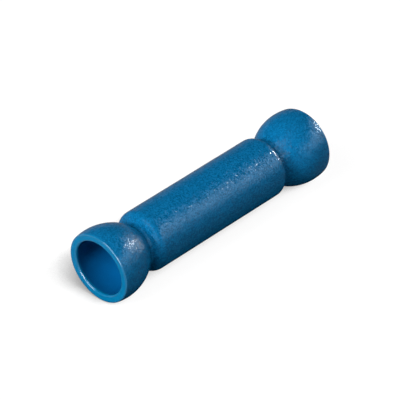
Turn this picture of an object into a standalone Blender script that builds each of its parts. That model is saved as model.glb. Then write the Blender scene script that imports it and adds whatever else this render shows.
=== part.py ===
"""Insulated butt splice connector, lying on its two bell mouths.

Metres, +Z up. The connector's axis runs along X, and the origin is on the surface it lies on,
under its middle. A plastic sleeve is formed round a tinned copper barrel: it is straight over the
barrel, pinched to a neck past each barrel end, and opens into a bowl-shaped mouth for the wire.
"""
import math

import bmesh
import bpy
from mathutils import Matrix

MM = 0.001

# Crimp barrel
WIRE_BORE_DIA = 2.3 * MM
BARREL_WALL = 0.7 * MM
BARREL_LENGTH = 14.8 * MM
BARREL_EDGE = 0.15 * MM
WIRE_ENTRY = 0.3 * MM

# Wire stop: a dent punched into the barrel from each side at mid length
STOP_COUNT = 2
STOP_NUB_DIA = 0.9 * MM
STOP_HEIGHT = 0.4 * MM
PUNCH_DIA = 1.2 * MM
PUNCH_DEPTH = 0.3 * MM

# Insulation sleeve
LENGTH = 26.0 * MM
SLEEVE_WALL = 0.72 * MM
SHOULDER_ROUND = 0.9 * MM
SHOULDER_SLOPE = math.radians(62.0)
NECK_ROUND = 0.2 * MM
BELL_DIA = 6.78 * MM
CROWN_SETBACK = 1.0 * MM
LIP_ROUND = 0.08 * MM

# Clearances
SEAT_GAP = 0.25 * MM
NECK_CLEARANCE = 0.11 * MM

# Facets round the axis, and along the arcs of the section
SIDES = 48
STOP_SIDES = 16
BELL_STEPS = 8
ROUND_STEPS = 6
LIP_STEPS = 2

# Finishes, as linear colours
SLEEVE_COLOUR = (0.006, 0.118, 0.275, 1.0)
TIN_COLOUR = (0.72, 0.72, 0.70, 1.0)

# Sizes that follow from the ones above
HALF_LENGTH = LENGTH / 2
BORE_R = WIRE_BORE_DIA / 2
BARREL_R = BORE_R + BARREL_WALL
SEAT_R = BARREL_R + SEAT_GAP
BODY_R = SEAT_R + SLEEVE_WALL
PASSAGE_R = BORE_R + NECK_CLEARANCE
NECK_R = PASSAGE_R + SLEEVE_WALL
BELL_R = BELL_DIA / 2
AXIS_HEIGHT = BELL_R * math.cos(math.pi / SIDES)

QUARTER = math.pi / 2
FULL_TURN = 2 * math.pi
SHARP_ANGLE = math.radians(35.0)
SAME_POINT = 0.0005 * MM


def clear_scene():
    """Start from an empty scene."""
    for thing in list(bpy.data.objects):
        bpy.data.objects.remove(thing)


def finish(name, colour, roughness, metallic):
    """Make a plain Principled material."""
    material = bpy.data.materials.new(name)
    material.use_nodes = True
    shader = material.node_tree.nodes["Principled BSDF"]
    shader.inputs["Base Color"].default_value = colour
    shader.inputs["Roughness"].default_value = roughness
    shader.inputs["Metallic"].default_value = metallic
    material.diffuse_color = colour
    return material


def arc(centre, radius, start, end, steps):
    """Points (x, r) along an arc, with angles measured from +X towards the outside."""
    points = []
    for i in range(steps + 1):
        angle = start + (end - start) * i / steps
        points.append((centre[0] + radius * math.cos(angle), centre[1] + radius * math.sin(angle)))
    return points


def direction(start, end):
    """Angle of the line from one (x, r) point to another."""
    return math.atan2(end[1] - start[1], end[0] - start[0])


def join_runs(*runs):
    """Chain runs of points, without the points that two neighbours share."""
    chain = []
    for run in runs:
        for point in run:
            if not chain or math.dist(chain[-1], point) > SAME_POINT:
                chain.append(point)
    return chain


def touching_slope(r, distance):
    """Centre at radius r that lies at a distance outside the barrel's end corner, across the slope."""
    corner_x = BARREL_LENGTH / 2
    corner_r = BARREL_R - BARREL_EDGE
    run = (distance - (r - corner_r) * math.cos(SHOULDER_SLOPE)) / math.sin(SHOULDER_SLOPE)
    return (corner_x + run, r)


def sleeve_half_section():
    """Section of one half of the sleeve: out along its skin, round the lip and back along its bore."""
    slope_normal = QUARTER - SHOULDER_SLOPE
    skin = SEAT_GAP + SLEEVE_WALL
    shoulder = touching_slope(BODY_R - SHOULDER_ROUND, skin - SHOULDER_ROUND)
    neck = touching_slope(NECK_R + NECK_ROUND, skin + NECK_ROUND)

    # The bell is one arc that leaves the neck's round smoothly and is widest at its crown
    crown_x = HALF_LENGTH - CROWN_SETBACK
    reach = crown_x - neck[0]
    rise = BELL_R - neck[1]
    bell_arc = (reach ** 2 + rise ** 2 - NECK_ROUND ** 2) / (2 * (NECK_ROUND + rise))
    bell_bore = bell_arc - SLEEVE_WALL
    bell = (crown_x, BELL_R - bell_arc)
    flare = direction(neck, bell)

    lip_x = HALF_LENGTH - LIP_ROUND
    offset = CROWN_SETBACK - LIP_ROUND
    outer_lip = (lip_x, bell[1] + math.sqrt((bell_arc - LIP_ROUND) ** 2 - offset ** 2))
    inner_lip = (lip_x, bell[1] + math.sqrt((bell_bore + LIP_ROUND) ** 2 - offset ** 2))
    outer_edge = direction(bell, outer_lip)
    inner_edge = direction(bell, inner_lip)

    return join_runs(
        arc(shoulder, SHOULDER_ROUND, QUARTER, slope_normal, ROUND_STEPS),
        arc(neck, NECK_ROUND, slope_normal + math.pi, flare + FULL_TURN, ROUND_STEPS),
        arc(bell, bell_arc, flare + math.pi, QUARTER, BELL_STEPS),
        arc(bell, bell_arc, QUARTER, outer_edge, LIP_STEPS),
        arc(outer_lip, LIP_ROUND, outer_edge, 0.0, LIP_STEPS),
        arc(inner_lip, LIP_ROUND, 0.0, inner_edge - math.pi, LIP_STEPS),
        arc(bell, bell_bore, inner_edge, flare + math.pi, BELL_STEPS),
        arc(neck, NECK_ROUND + SLEEVE_WALL, flare, slope_normal - math.pi, ROUND_STEPS),
        arc(shoulder, SHOULDER_ROUND - SLEEVE_WALL, slope_normal, QUARTER, LIP_STEPS),
    )


def barrel_half_section():
    """Section of one half of the barrel: out along its skin, over its end and back along its bore."""
    end = BARREL_LENGTH / 2
    return [
        (end - BARREL_EDGE, BARREL_R),
        (end, BARREL_R - BARREL_EDGE),
        (end, BORE_R + WIRE_ENTRY),
        (end - WIRE_ENTRY, BORE_R),
    ]


def turned(name, half_section, material):
    """Mirror a half section about the middle, turn it round X and stand it at the axis height."""
    mirrored = [(-x, r) for x, r in reversed(half_section)]
    ring = bmesh.new()
    corners = [ring.verts.new((x, 0.0, r)) for x, r in half_section + mirrored]
    edges = [ring.edges.new((corners[i - 1], corners[i])) for i in range(len(corners))]
    turn = Matrix.Rotation(math.pi / SIDES, 3, "X")
    bmesh.ops.rotate(ring, verts=corners, cent=(0, 0, 0), matrix=turn)
    bmesh.ops.spin(ring, geom=corners + edges, cent=(0, 0, 0), axis=(1, 0, 0), angle=FULL_TURN, steps=SIDES)
    bmesh.ops.remove_doubles(ring, verts=ring.verts, dist=SAME_POINT)
    bmesh.ops.recalc_face_normals(ring, faces=ring.faces)
    thing = add_object(name, ring, material)
    thing.location = (0, 0, AXIS_HEIGHT)
    return thing


def add_object(name, form, material):
    """Turn a bmesh into an object with one material, shaded smooth between its sharp edges."""
    mesh = bpy.data.meshes.new(name)
    form.to_mesh(mesh)
    form.free()
    mesh.shade_smooth()
    mesh.set_sharp_from_angle(angle=SHARP_ANGLE)
    mesh.materials.append(material)
    thing = bpy.data.objects.new(name, mesh)
    bpy.context.scene.collection.objects.link(thing)
    return thing


def ball_cutter(name, diameter, height, angle, material):
    """A ball at mid length, its centre at a height off the axis, turned round the axis by an angle."""
    form = bmesh.new()
    bmesh.ops.create_uvsphere(form, u_segments=STOP_SIDES, v_segments=STOP_SIDES // 2, radius=diameter / 2)
    bmesh.ops.translate(form, verts=form.verts, vec=(0, 0, height))
    bmesh.ops.rotate(form, verts=form.verts, cent=(0, 0, 0), matrix=Matrix.Rotation(angle, 3, "X"))
    ball = add_object(name, form, material)
    ball.location = (0, 0, AXIS_HEIGHT)
    ball.hide_render = True
    ball.display_type = "WIRE"
    return ball


def combine(thing, other, operation):
    """Join a ball to a thing, or cut it away."""
    step = thing.modifiers.new(other.name, "BOOLEAN")
    step.operation = operation
    step.solver = "EXACT"
    step.object = other


def make_sleeve():
    """The one-piece plastic sleeve."""
    material = finish("sleeve_plastic", SLEEVE_COLOUR, 0.45, 0.0)
    return turned("insulation_sleeve", sleeve_half_section(), material)


def make_barrel():
    """The tinned copper tube, with a dent at mid length on opposite sides that stops each wire."""
    material = finish("barrel_tin", TIN_COLOUR, 0.28, 1.0)
    barrel = turned("crimp_barrel", barrel_half_section(), material)
    for i in range(STOP_COUNT):
        angle = QUARTER + FULL_TURN * i / STOP_COUNT
        nub_height = BORE_R - STOP_HEIGHT + STOP_NUB_DIA / 2
        nub = ball_cutter(f"stop_nub_{i}", STOP_NUB_DIA, nub_height, angle, material)
        combine(barrel, nub, "UNION")
        punch_height = BARREL_R - PUNCH_DEPTH + PUNCH_DIA / 2
        punch = ball_cutter(f"stop_punch_{i}", PUNCH_DIA, punch_height, angle, material)
        combine(barrel, punch, "DIFFERENCE")
    return barrel


clear_scene()
make_sleeve()
make_barrel()
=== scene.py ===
import math

import bmesh
import bpy
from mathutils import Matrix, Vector, noise


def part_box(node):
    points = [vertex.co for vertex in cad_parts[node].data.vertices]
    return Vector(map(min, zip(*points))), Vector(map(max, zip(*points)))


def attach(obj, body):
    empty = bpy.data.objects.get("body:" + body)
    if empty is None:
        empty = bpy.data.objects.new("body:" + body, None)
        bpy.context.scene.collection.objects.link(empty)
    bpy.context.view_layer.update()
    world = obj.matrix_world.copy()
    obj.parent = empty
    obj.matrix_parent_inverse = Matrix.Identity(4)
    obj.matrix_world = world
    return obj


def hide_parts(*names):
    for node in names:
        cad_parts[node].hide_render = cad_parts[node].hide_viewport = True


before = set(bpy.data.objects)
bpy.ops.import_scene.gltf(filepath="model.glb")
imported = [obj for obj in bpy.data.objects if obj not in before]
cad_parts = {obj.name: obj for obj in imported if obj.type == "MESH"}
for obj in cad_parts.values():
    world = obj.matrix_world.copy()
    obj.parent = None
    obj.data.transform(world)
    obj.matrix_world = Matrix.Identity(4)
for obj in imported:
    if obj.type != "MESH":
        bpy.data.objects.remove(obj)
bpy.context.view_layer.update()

MM = 0.001
QUARTER = math.pi / 2
TURN = 2 * math.pi
SAME_POINT = 0.001 * MM

# Sizes and places that the frame gives
SLEEVE_LOW, SLEEVE_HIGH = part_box("insulation_sleeve")
HALF_LENGTH = (SLEEVE_HIGH.x - SLEEVE_LOW.x) / 2
AXIS_HEIGHT = (SLEEVE_HIGH.z + SLEEVE_LOW.z) / 2
BELL_R = (SLEEVE_HIGH.z - SLEEVE_LOW.z) / 2

# The sleeve's section: that of the solid, with rounder lips at its mouths
BODY_R = 2.82 * MM
SEAT_R = 2.1 * MM
NECK_R = 1.98 * MM
NECK_X = 8.47 * MM
WALL = 0.72 * MM
SHOULDER_ROUND = 0.9 * MM
SHOULDER_SLOPE = math.radians(62.0)
NECK_ROUND = 0.2 * MM
CROWN_SETBACK = 1.0 * MM
OUTER_LIP = 0.13 * MM
INNER_LIP = 0.19 * MM

# How finely the sleeve is divided
SIDES = 224
SKIN_STEP = 0.09 * MM
BORE_STEP = 0.2 * MM
LIP_STEPS = 6

# Moulded grain in the mesh: sizes and depths in millimetres, and how sharply its pebbles part
PEBBLE_SIZE = 0.26
PEBBLE_DEPTH = 0.009
PEBBLE_BLEND = 9.0
SWELL_SIZE = 1.6
SWELL_DEPTH = 0.006

# Each mouth was trimmed a little out of square: lean of its rim along Y and Z
NEAR_TRIM = (0.005, 0.042)
FAR_TRIM = (-0.024, 0.024)

# Share of the grain on lips and rims, and the share from which a surface has the skin's colour
RIM_GRAIN = 0.12
SKIN_GRAIN = 0.6

# How grained, how polished and how far inside each run of the section is, from 0 to 1; the inside runs get
# the bowls' painted shade
CARRIED = ("grain", "polish", "inside")
RUN_VALUES = {
    "skin": (1.0, 0.0, 0.0),
    "outer_lip": (RIM_GRAIN, 1.0, 0.0),
    "rim": (RIM_GRAIN, 0.0, 0.0),
    "inner_lip": (RIM_GRAIN, 1.0, 0.0),
    "mouth": (0.35, 0.0, 1.0),
    "bore": (0.2, 0.0, 1.0),
}

# Finer grain in the sleeve's material: tilted facets, with rounded pebbles and fine noise on them
FACET_SIZE = 0.105 * MM
FACET_TILT = 0.57
BUMP_SIZE = 0.17 * MM
BUMP_ROUNDNESS = 0.5
FINE_SIZE = 0.10 * MM
FINE_SHARE = 0.5
RELIEF_DEPTH = 0.045 * MM
RELIEF_STRENGTH = 0.20

# Linear colours of the sleeve: the skin's facets, the rims painted paler for light glowing through the thin
# edge, and the bowls painted darker and bluer for the shade inside them
MOTTLE_SIZE = 2.5 * MM
SKIN_DARK = ((0.0006, 0.073, 0.178), (0.0010, 0.083, 0.200))
SKIN_PALE = (0.0032, 0.155, 0.360)
RIM_BLUE_PAINTED_GLOW = ((0.0008, 0.128, 0.276), (0.0011, 0.139, 0.296))
BOWL_BLUE_PAINTED_SHADE = ((0.0006, 0.070, 0.210), (0.0008, 0.082, 0.236))

# Gloss of the sleeve, and of the polished lips on top of it
SKIN_ROUGHNESS = (0.13, 0.19)
RIM_SMOOTHING = 0.06
SKIN_IOR = 1.25
SKIN_TINT = (0.7, 0.9, 1.0, 1.0)
LIP_ROUGHNESS = 0.10
LIP_IOR = 1.8

# Tin plating: cloudy patches, and fine lines that run round the tube
TIN_COLOURS = ((0.66, 0.66, 0.64), (0.80, 0.80, 0.78))
TIN_ROUGHNESS = (0.22, 0.34)
CLOUD_SIZE = 1.2 * MM
LINE_SIZE = 0.5 * MM
LINE_SQUEEZE = (6.0, 1.0, 1.0)
LINE_DEPTH = 0.01 * MM
LINE_STRENGTH = 0.4

# Ranges: the one that most values of a noise texture lie in, and the whole one
NOISE_MIDDLE = (0.3, 0.7)
WHOLE_RANGE = (0.0, 1.0)

# Floor: half its width, its own paint, and how pale it is in reflections, with the shade painted into them
# round the object
FLOOR_HALF = 1.5
FLOOR_PAINT = 0.10
FLOOR_MIRRORED = 0.26
MIRRORED_REACH = 12.0 * MM
MIRRORED_SHADE = 4.5
MIRRORED_SAMPLES = 8

# Floor as the camera sees it: its white, and the shadow painted round the object, with the bearing it opens
# to
FLOOR_GLOW = 0.95
SHADOW_LEAN = (-4, 12)
SHADOW_REACH = 6.0 * MM
SHADOW_POWER = 3.1
SHADOW_GAIN = 1.7
SHADOW_SAMPLES = 16

# Surround: the heights between which it dims, and its level at both
SURROUND_HEIGHTS = (0.05, 0.30)
SURROUND_LEVELS = (0.30, 0.03)

# Lamps that light surfaces: azimuth, elevation, width and height in degrees, and how bright the face is
LAMP_DISTANCE = 0.4
FILL_LAMPS = {
    "left_fill": (-94, 26, 11, 11, 65.0),
    "left_low": (-97, 9, 22, 14, 9.5),
    "left_top": (-88, 48, 30, 18, 11.5),
    "top": (0, 88, 20, 20, 3.5),
    "front_low": (5, 9, 40, 14, 3.0),
    "front": (15, 27, 30, 18, 2.0),
    "right_fill": (70, 10, 40, 14, 2.7),
    "back_fill": (97, 5, 30, 10, 13.0),
}

# Lamps that only show in the sheen, described in the same way
SHEEN_LAMPS = {
    "left_above": (-78, 56, 40, 24, 3.2),
    "left_horizon": (-84, 4.5, 56, 9, 11.0),
    "front_left": (-48, 27, 20, 18, 7.0),
    "right_front": (10, 27, 20, 18, 3.8),
    "right_inner": (30, 27, 20, 18, 4.2),
    "right_key": (50, 27, 20, 18, 4.9),
    "right_outer": (70, 27, 20, 18, 4.5),
    "right_upper": (66, 41, 40, 10, 3.0),
    "right_lower": (40, 12, 60, 12, 1.9),
    "right_far": (90, 27, 20, 18, 2.8),
    "right_low": (80, 8, 24, 16, 4.0),
    "right_core": (74, 27, 6, 6, 150.0),
}

# Camera: where it stands and where it aims, both from the middle of the part
CAMERA_DISTANCE = 275.5 * MM
CAMERA_BEARING = (-47.37, 35.06)
CAMERA_AIM = Vector((-0.05, 0.27, 0.29)) * MM
CAMERA_LENS = 286.0
CAMERA_SENSOR = 36.0
CAMERA_NEAR = 0.01
CAMERA_FAR = 10.0


def arc(centre, radius, start, end, step):
    """Points (x, r) along an arc, no further apart than a step."""
    count = max(2, math.ceil(abs(end - start) * radius / step))
    points = []
    for i in range(count + 1):
        angle = start + (end - start) * i / count
        points.append((centre[0] + radius * math.cos(angle), centre[1] + radius * math.sin(angle)))
    return points


def line(start, end, step):
    """Points (x, r) along a straight run, no further apart than a step."""
    count = max(1, math.ceil(math.dist(start, end) / step))
    return [
        (start[0] + (end[0] - start[0]) * i / count, start[1] + (end[1] - start[1]) * i / count)
        for i in range(count + 1)
    ]


def direction(start, end):
    """Angle of the line from one (x, r) point to another."""
    return math.atan2(end[1] - start[1], end[0] - start[0])


def bearing(azimuth, elevation):
    """The direction at an azimuth and an elevation in degrees, counted from -Y towards +X."""
    around = math.radians(azimuth)
    up = math.radians(elevation)
    return Vector((math.sin(around) * math.cos(up), -math.cos(around) * math.cos(up), math.sin(up)))


def add_object(name, data):
    """An object in the scene that shows a mesh, a lamp or a camera."""
    thing = bpy.data.objects.new(name, data)
    bpy.context.scene.collection.objects.link(thing)
    return thing


def sleeve_runs():
    """The section of one half, as named runs of points from mid length out over the lip and back."""
    normal = QUARTER - SHOULDER_SLOPE
    neck = (NECK_X, NECK_R + NECK_ROUND)
    shoulder_r = BODY_R - SHOULDER_ROUND
    rise = (neck[1] - shoulder_r) * math.cos(SHOULDER_SLOPE)
    shoulder = (NECK_X - (NECK_ROUND + SHOULDER_ROUND - rise) / math.sin(SHOULDER_SLOPE), shoulder_r)

    # The bell is one arc that leaves the neck's round smoothly and is widest at its crown
    crown_x = HALF_LENGTH - CROWN_SETBACK
    reach = crown_x - neck[0]
    climb = BELL_R - neck[1]
    bell_arc = (reach ** 2 + climb ** 2 - NECK_ROUND ** 2) / (2 * (NECK_ROUND + climb))
    bell_bore = bell_arc - WALL
    bell = (crown_x, BELL_R - bell_arc)
    flare = direction(neck, bell)

    outward = math.sqrt((bell_arc - OUTER_LIP) ** 2 - (CROWN_SETBACK - OUTER_LIP) ** 2)
    inward = math.sqrt((bell_bore + INNER_LIP) ** 2 - (CROWN_SETBACK - INNER_LIP) ** 2)
    outer_lip = (HALF_LENGTH - OUTER_LIP, bell[1] + outward)
    inner_lip = (HALF_LENGTH - INNER_LIP, bell[1] + inward)
    outer_edge = direction(bell, outer_lip)
    inner_edge = direction(bell, inner_lip)
    lip_step = OUTER_LIP * QUARTER / LIP_STEPS

    body = line((0.0, BODY_R), (shoulder[0], BODY_R), SKIN_STEP)
    body += arc(shoulder, SHOULDER_ROUND, QUARTER, normal, SKIN_STEP)
    slope_top = body[-1]
    groove = arc(neck, NECK_ROUND, normal + math.pi, flare + TURN, SKIN_STEP / 2)
    body += line(slope_top, groove[0], SKIN_STEP)
    rim_outer = (HALF_LENGTH, outer_lip[1])
    rim_inner = (HALF_LENGTH, inner_lip[1])
    hump = arc(neck, NECK_ROUND + WALL, flare, normal - math.pi, BORE_STEP)
    seat = arc(shoulder, SHOULDER_ROUND - WALL, normal, QUARTER, BORE_STEP / 2)
    return {
        "skin": body + groove + arc(bell, bell_arc, flare + math.pi, outer_edge, SKIN_STEP),
        "outer_lip": arc(outer_lip, OUTER_LIP, outer_edge, 0.0, lip_step),
        "rim": line(rim_outer, rim_inner, SKIN_STEP),
        "inner_lip": arc(inner_lip, INNER_LIP, 0.0, inner_edge - math.pi, lip_step),
        "mouth": arc(bell, bell_bore, inner_edge, flare + math.pi, BORE_STEP),
        "bore": hump + seat + line(seat[-1], (0.0, SEAT_R), 4 * BORE_STEP),
    }


def sleeve_section():
    """The closed section of the whole sleeve: points (x, r), and the values that each point carries."""
    points = []
    values = {carried: [] for carried in CARRIED}
    for name, run in sleeve_runs().items():
        for point in run:
            if not points or math.dist(points[-1], point) > SAME_POINT:
                points.append(point)
                for carried, value in zip(CARRIED, RUN_VALUES[name]):
                    values[carried].append(value)
    points[0] = (0.0, points[0][1])
    mirrored = [(-x, r) for x, r in reversed(points[1:-1])]
    return points + mirrored, {carried: run + run[-2:0:-1] for carried, run in values.items()}


def skin_height(spot):
    """Height of the moulded grain at a spot, in metres: low swells with rounded pebbles on them."""
    place = spot / MM
    swell = noise.noise(place / SWELL_SIZE)
    distances = noise.voronoi(place / PEBBLE_SIZE, distance_metric="DISTANCE")[0]
    reach = -math.log(sum(math.exp(-PEBBLE_BLEND * d) for d in distances)) / PEBBLE_BLEND
    return (SWELL_DEPTH * swell - PEBBLE_DEPTH * reach * abs(reach)) * MM


def trim_shift(x, y, z):
    """How far a point near a mouth moves along X because the rim is a little out of square."""
    reach = max(0.0, (abs(x) - NECK_X) / (HALF_LENGTH - NECK_X))
    lean = FAR_TRIM if x > 0 else NEAR_TRIM
    side = 1 if x > 0 else -1
    return side * reach * (lean[0] * y + lean[1] * z)


def make_sleeve():
    """The moulded sleeve: one turned shell, pebbled outside and smooth on its rims."""
    section, values = sleeve_section()
    form = bmesh.new()
    rings = []
    for i in range(SIDES):
        angle = TURN * i / SIDES
        outward = Vector((0, math.sin(angle), math.cos(angle)))
        ring = []
        for x, r in section:
            spot = outward * r
            spot.x = x + trim_shift(x, spot.y, spot.z)
            spot.z += AXIS_HEIGHT
            ring.append(form.verts.new(spot))
        rings.append(ring)
    count = len(section)
    for i in range(SIDES):
        here, there = rings[i - 1], rings[i]
        for k in range(count):
            form.faces.new((here[k - 1], here[k], there[k], there[k - 1]))
    bmesh.ops.recalc_face_normals(form, faces=form.faces)
    form.normal_update()
    normals = [corner.normal.copy() for corner in form.verts]
    for i, corner in enumerate(form.verts):
        grain = values["grain"][i % count]
        corner.co += normals[i] * skin_height(corner.co) * grain
    mesh = bpy.data.meshes.new("sleeve_moulding")
    form.to_mesh(mesh)
    form.free()
    mesh.shade_smooth()
    for name, run in values.items():
        layer = mesh.attributes.new(name, "FLOAT", "POINT")
        layer.data.foreach_set("value", run * SIDES)
    mesh.materials.append(sleeve_material())
    return add_object("sleeve_moulding", mesh)


def new_material(name):
    """A material with its node tree and its Principled shader."""
    material = bpy.data.materials.new(name)
    material.use_nodes = True
    tree = material.node_tree
    return material, tree, tree.nodes["Principled BSDF"]


def noise_node(tree, coords, size, detail):
    """A noise texture whose features have a size in metres."""
    node = tree.nodes.new("ShaderNodeTexNoise")
    node.inputs["Scale"].default_value = 1.0 / size
    node.inputs["Detail"].default_value = detail
    tree.links.new(coords, node.inputs["Vector"])
    return node.outputs["Fac"]


def cells_node(tree, coords, size, feature):
    """A cell pattern whose cells have a size in metres."""
    node = tree.nodes.new("ShaderNodeTexVoronoi")
    node.feature = feature
    node.inputs["Scale"].default_value = 1.0 / size
    tree.links.new(coords, node.inputs["Vector"])
    return node


def map_range(tree, value, before, after):
    """Map a value from one range, given as its two ends, to another."""
    node = tree.nodes.new("ShaderNodeMapRange")
    tree.links.new(value, node.inputs["Value"])
    node.inputs["From Min"].default_value = before[0]
    node.inputs["From Max"].default_value = before[1]
    node.inputs["To Min"].default_value = after[0]
    node.inputs["To Max"].default_value = after[1]
    return node.outputs["Result"]


def grey(level):
    """A grey as a colour of three equal values."""
    return (level, level, level)


def mix_colour(tree, factor, first, second):
    """Mix two colours, each given as a value or a socket."""
    node = tree.nodes.new("ShaderNodeMix")
    node.data_type = "RGBA"
    tree.links.new(factor, node.inputs["Factor"])
    for socket, colour in ((node.inputs["A"], first), (node.inputs["B"], second)):
        if isinstance(colour, bpy.types.NodeSocket):
            tree.links.new(colour, socket)
        else:
            socket.default_value = (*colour, 1.0)
    return node.outputs["Result"]


def math_node(tree, operation, first, second):
    """A math node on sockets or numbers."""
    node = tree.nodes.new("ShaderNodeMath")
    node.operation = operation
    for socket, value in zip(node.inputs, (first, second)):
        if isinstance(value, bpy.types.NodeSocket):
            tree.links.new(value, socket)
        else:
            socket.default_value = value
    return node.outputs["Value"]


def vector_node(tree, operation, first, second=None, scale=None):
    """A vector math node on sockets or plain vectors."""
    node = tree.nodes.new("ShaderNodeVectorMath")
    node.operation = operation
    for socket, value in zip(node.inputs, (first, second)):
        if isinstance(value, bpy.types.NodeSocket):
            tree.links.new(value, socket)
        elif value is not None:
            socket.default_value = value
    if scale is not None:
        tree.links.new(scale, node.inputs["Scale"])
    return node.outputs["Vector"]


def attribute(tree, name):
    """A value stored on the mesh."""
    node = tree.nodes.new("ShaderNodeAttribute")
    node.attribute_name = name
    return node.outputs["Fac"]


def facet_normal(tree, cells, grain):
    """The surface's normal, tilted at random in each cell: mostly a little, now and then a lot."""
    tilt = vector_node(tree, "SUBTRACT", cells.outputs["Color"], grey(0.5))
    tilt = vector_node(tree, "MULTIPLY", tilt, vector_node(tree, "ABSOLUTE", tilt))
    tilt = vector_node(tree, "SCALE", tilt, scale=math_node(tree, "MULTIPLY", grain, FACET_TILT))
    normal = tree.nodes.new("ShaderNodeNewGeometry").outputs["Normal"]
    return vector_node(tree, "NORMALIZE", vector_node(tree, "ADD", normal, tilt))


def sleeve_material():
    """Satin blue plastic, finely pebbled where the grain attribute says so."""
    material, tree, shader = new_material("sleeve_plastic")
    coords = tree.nodes.new("ShaderNodeTexCoord").outputs["Object"]
    grain = attribute(tree, "grain")
    inside = attribute(tree, "inside")

    # Colour: each facet of the skin has its own tone, and rims and bowls are almost even; the rims are
    # painted paler for light glowing through the thin edge, the bowls darker and bluer for the shade inside
    # them
    mottle = map_range(tree, noise_node(tree, coords, MOTTLE_SIZE, detail=3.0), NOISE_MIDDLE, WHOLE_RANGE)
    cells = cells_node(tree, coords, FACET_SIZE, "F1")
    speck = tree.nodes.new("ShaderNodeSeparateColor")
    tree.links.new(cells.outputs["Color"], speck.inputs["Color"])
    skin = mix_colour(tree, speck.outputs["Red"], mix_colour(tree, mottle, *SKIN_DARK), SKIN_PALE)
    # Painted light: the rims' paler blue stands in for light that glows through the thin cut edge
    rim = mix_colour(tree, mottle, *RIM_BLUE_PAINTED_GLOW)
    # Painted shade: the bowls' darker, bluer colour stands in for the dim, bounced light deep inside them
    painted_bowl_shade = mix_colour(tree, mottle, *BOWL_BLUE_PAINTED_SHADE)
    # 1 on the smooth rims: it makes them less rough and gives them their painted paler colour
    smooth = map_range(tree, grain, (RIM_GRAIN, SKIN_GRAIN), (1.0, 0.0))
    colour = mix_colour(tree, inside, mix_colour(tree, smooth, skin, rim), painted_bowl_shade)
    tree.links.new(colour, shader.inputs["Base Color"])

    # Gloss: a little rougher on some facets, smoother on rims, with a hard shine on the lips
    rough = map_range(tree, speck.outputs["Green"], WHOLE_RANGE, SKIN_ROUGHNESS)
    rough = math_node(tree, "SUBTRACT", rough, math_node(tree, "MULTIPLY", smooth, RIM_SMOOTHING))
    tree.links.new(rough, shader.inputs["Roughness"])
    shader.inputs["IOR"].default_value = SKIN_IOR
    shader.inputs["Specular Tint"].default_value = SKIN_TINT
    tree.links.new(attribute(tree, "polish"), shader.inputs["Coat Weight"])
    shader.inputs["Coat Roughness"].default_value = LIP_ROUGHNESS
    shader.inputs["Coat IOR"].default_value = LIP_IOR

    # Relief: rounded pebbles with fine noise, on the tilted facets
    pebbles = cells_node(tree, coords, BUMP_SIZE, "SMOOTH_F1")
    pebbles.inputs["Smoothness"].default_value = BUMP_ROUNDNESS
    fine = math_node(tree, "MULTIPLY", noise_node(tree, coords, FINE_SIZE, detail=1.0), FINE_SHARE)
    relief = math_node(tree, "SUBTRACT", fine, pebbles.outputs["Distance"])
    bump = tree.nodes.new("ShaderNodeBump")
    bump.inputs["Distance"].default_value = RELIEF_DEPTH
    tree.links.new(math_node(tree, "MULTIPLY", grain, RELIEF_STRENGTH), bump.inputs["Strength"])
    tree.links.new(relief, bump.inputs["Height"])
    tree.links.new(facet_normal(tree, cells, grain), bump.inputs["Normal"])
    tree.links.new(bump.outputs["Normal"], shader.inputs["Normal"])
    return material


def tin_material():
    """Bright tin plating with faint drawing lines round the tube."""
    material, tree, shader = new_material("barrel_tin")
    coords = tree.nodes.new("ShaderNodeTexCoord").outputs["Object"]
    cloud = noise_node(tree, coords, CLOUD_SIZE, detail=3.0)
    tree.links.new(mix_colour(tree, cloud, *TIN_COLOURS), shader.inputs["Base Color"])
    tree.links.new(map_range(tree, cloud, NOISE_MIDDLE, TIN_ROUGHNESS), shader.inputs["Roughness"])
    shader.inputs["Metallic"].default_value = 1.0
    squeezed = tree.nodes.new("ShaderNodeMapping")
    squeezed.inputs["Scale"].default_value = LINE_SQUEEZE
    tree.links.new(coords, squeezed.inputs["Vector"])
    lines = noise_node(tree, squeezed.outputs["Vector"], LINE_SIZE, detail=2.0)
    bump = tree.nodes.new("ShaderNodeBump")
    bump.inputs["Distance"].default_value = LINE_DEPTH
    bump.inputs["Strength"].default_value = LINE_STRENGTH
    tree.links.new(lines, bump.inputs["Height"])
    tree.links.new(bump.outputs["Normal"], shader.inputs["Normal"])
    return material


def openness(tree, reach, samples):
    """A node that tells how open the floor is within a reach: 1 in the open, less near the object."""
    node = tree.nodes.new("ShaderNodeAmbientOcclusion")
    node.samples = samples
    node.inputs["Distance"].default_value = reach
    return node


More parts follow.
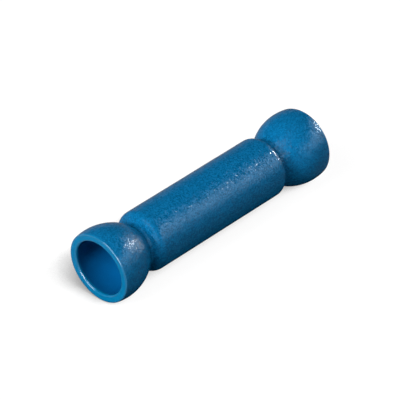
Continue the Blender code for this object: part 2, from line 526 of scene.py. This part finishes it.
def floor_material():
    """White floor with the object's shadow, mostly painted round it, deepest close to where the object
    touches it.
    """
    material, tree, shader = new_material("floor_white")
    tree.nodes.remove(shader)
    rays = tree.nodes.new("ShaderNodeLightPath").outputs

    # Paint that the lamps light, and that reflections show paler, with a shade painted in under the object
    # where the floor is closed in
    in_mirror = math_node(tree, "MAXIMUM", rays["Is Glossy Ray"], rays["Is Transmission Ray"])
    # Painted shade: in reflections the floor darkens by how closed in it is, not by what the lamps reach
    shade = openness(tree, MIRRORED_REACH, MIRRORED_SAMPLES).outputs["AO"]
    shade = math_node(tree, "POWER", shade, MIRRORED_SHADE)
    mirrored = mix_colour(tree, shade, grey(0.0), grey(FLOOR_MIRRORED))
    paint = tree.nodes.new("ShaderNodeBsdfDiffuse")
    tree.links.new(mix_colour(tree, in_mirror, grey(FLOOR_PAINT), mirrored), paint.inputs["Color"])

    # White that only the camera sees, dimmed by a painted shadow close to the object, most of all on its +Y
    # side
    lean = tree.nodes.new("ShaderNodeCombineXYZ")
    for socket, value in zip(lean.inputs, bearing(*SHADOW_LEAN)):
        socket.default_value = value
    nearness = openness(tree, SHADOW_REACH, SHADOW_SAMPLES)
    tree.links.new(lean.outputs["Vector"], nearness.inputs["Normal"])
    # Painted shadow: how brightly the white glows, lower where the object closes the floor in
    light = math_node(tree, "POWER", nearness.outputs["AO"], SHADOW_POWER)
    light = math_node(tree, "MULTIPLY", light, SHADOW_GAIN)
    light = math_node(tree, "MINIMUM", light, 1.0)
    glow = tree.nodes.new("ShaderNodeEmission")
    glow.inputs["Color"].default_value = (*grey(FLOOR_GLOW), 1.0)
    tree.links.new(math_node(tree, "MULTIPLY", rays["Is Camera Ray"], light), glow.inputs["Strength"])

    both = tree.nodes.new("ShaderNodeAddShader")
    tree.links.new(paint.outputs["BSDF"], both.inputs[0])
    tree.links.new(glow.outputs["Emission"], both.inputs[1])
    tree.links.new(both.outputs["Shader"], tree.nodes["Material Output"].inputs["Surface"])
    return material


def make_floor():
    """A plain pale floor under the object."""
    low, high = -FLOOR_HALF, FLOOR_HALF
    corners = [(low, low, 0), (high, low, 0), (high, high, 0), (low, high, 0)]
    mesh = bpy.data.meshes.new("floor")
    mesh.from_pydata(corners, [], [(0, 1, 2, 3)])
    mesh.materials.append(floor_material())
    floor = add_object("floor", mesh)


def make_world():
    """A dim surround, palest at the horizon."""
    world = bpy.data.worlds.new("surround")
    world.use_nodes = True
    tree = world.node_tree
    look = tree.nodes.new("ShaderNodeTexCoord").outputs["Generated"]
    split = tree.nodes.new("ShaderNodeSeparateXYZ")
    tree.links.new(look, split.inputs["Vector"])
    level = map_range(tree, split.outputs["Z"], SURROUND_HEIGHTS, SURROUND_LEVELS)
    colour = mix_colour(tree, level, grey(0.0), grey(1.0))
    tree.links.new(colour, tree.nodes["Background"].inputs["Color"])
    bpy.context.scene.world = world


def make_lamp(name, azimuth, elevation, wide, high, glow):
    """A rectangular lamp facing the object: its bearing and spread in degrees, and how bright its face is."""
    toward = bearing(azimuth, elevation)
    lamp = bpy.data.lights.new(name, "AREA")
    lamp.shape = "RECTANGLE"
    lamp.size = 2 * LAMP_DISTANCE * math.tan(math.radians(wide / 2))
    lamp.size_y = 2 * LAMP_DISTANCE * math.tan(math.radians(high / 2))
    lamp.energy = glow * math.pi * lamp.size * lamp.size_y
    thing = add_object(name, lamp)
    thing.location = toward * LAMP_DISTANCE + Vector((0, 0, AXIS_HEIGHT))
    thing.rotation_euler = toward.to_track_quat("Z", "Y").to_euler()
    return thing


def make_lights():
    """Soft light, most of it from the left, and panels on both sides that only the sheen shows."""
    for name, numbers in FILL_LAMPS.items():
        lamp = make_lamp(name, *numbers)
        lamp.visible_glossy = False
    for name, numbers in SHEEN_LAMPS.items():
        lamp = make_lamp(name, *numbers)
        lamp.visible_diffuse = False


def make_camera():
    """A long lens above the near mouth's side, with the far bell up and to the right."""
    camera = bpy.data.cameras.new("camera")
    camera.sensor_width = CAMERA_SENSOR
    camera.lens = CAMERA_LENS
    camera.clip_start = CAMERA_NEAR
    camera.clip_end = CAMERA_FAR
    centre = Vector((0, 0, AXIS_HEIGHT))
    thing = add_object("camera", camera)
    thing.location = centre + bearing(*CAMERA_BEARING) * CAMERA_DISTANCE
    sight = thing.location - (centre + CAMERA_AIM)
    thing.rotation_euler = sight.to_track_quat("Z", "Y").to_euler()
    bpy.context.scene.camera = thing


def main():
    """Dress the frame."""
    sleeve = make_sleeve()
    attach(sleeve, "root")
    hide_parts("insulation_sleeve")
    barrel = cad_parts["crimp_barrel"]
    barrel.data.materials.clear()
    barrel.data.materials.append(tin_material())
    make_floor()
    make_world()
    make_lights()
    make_camera()
    bpy.context.scene.view_settings.view_transform = "Standard"


main()
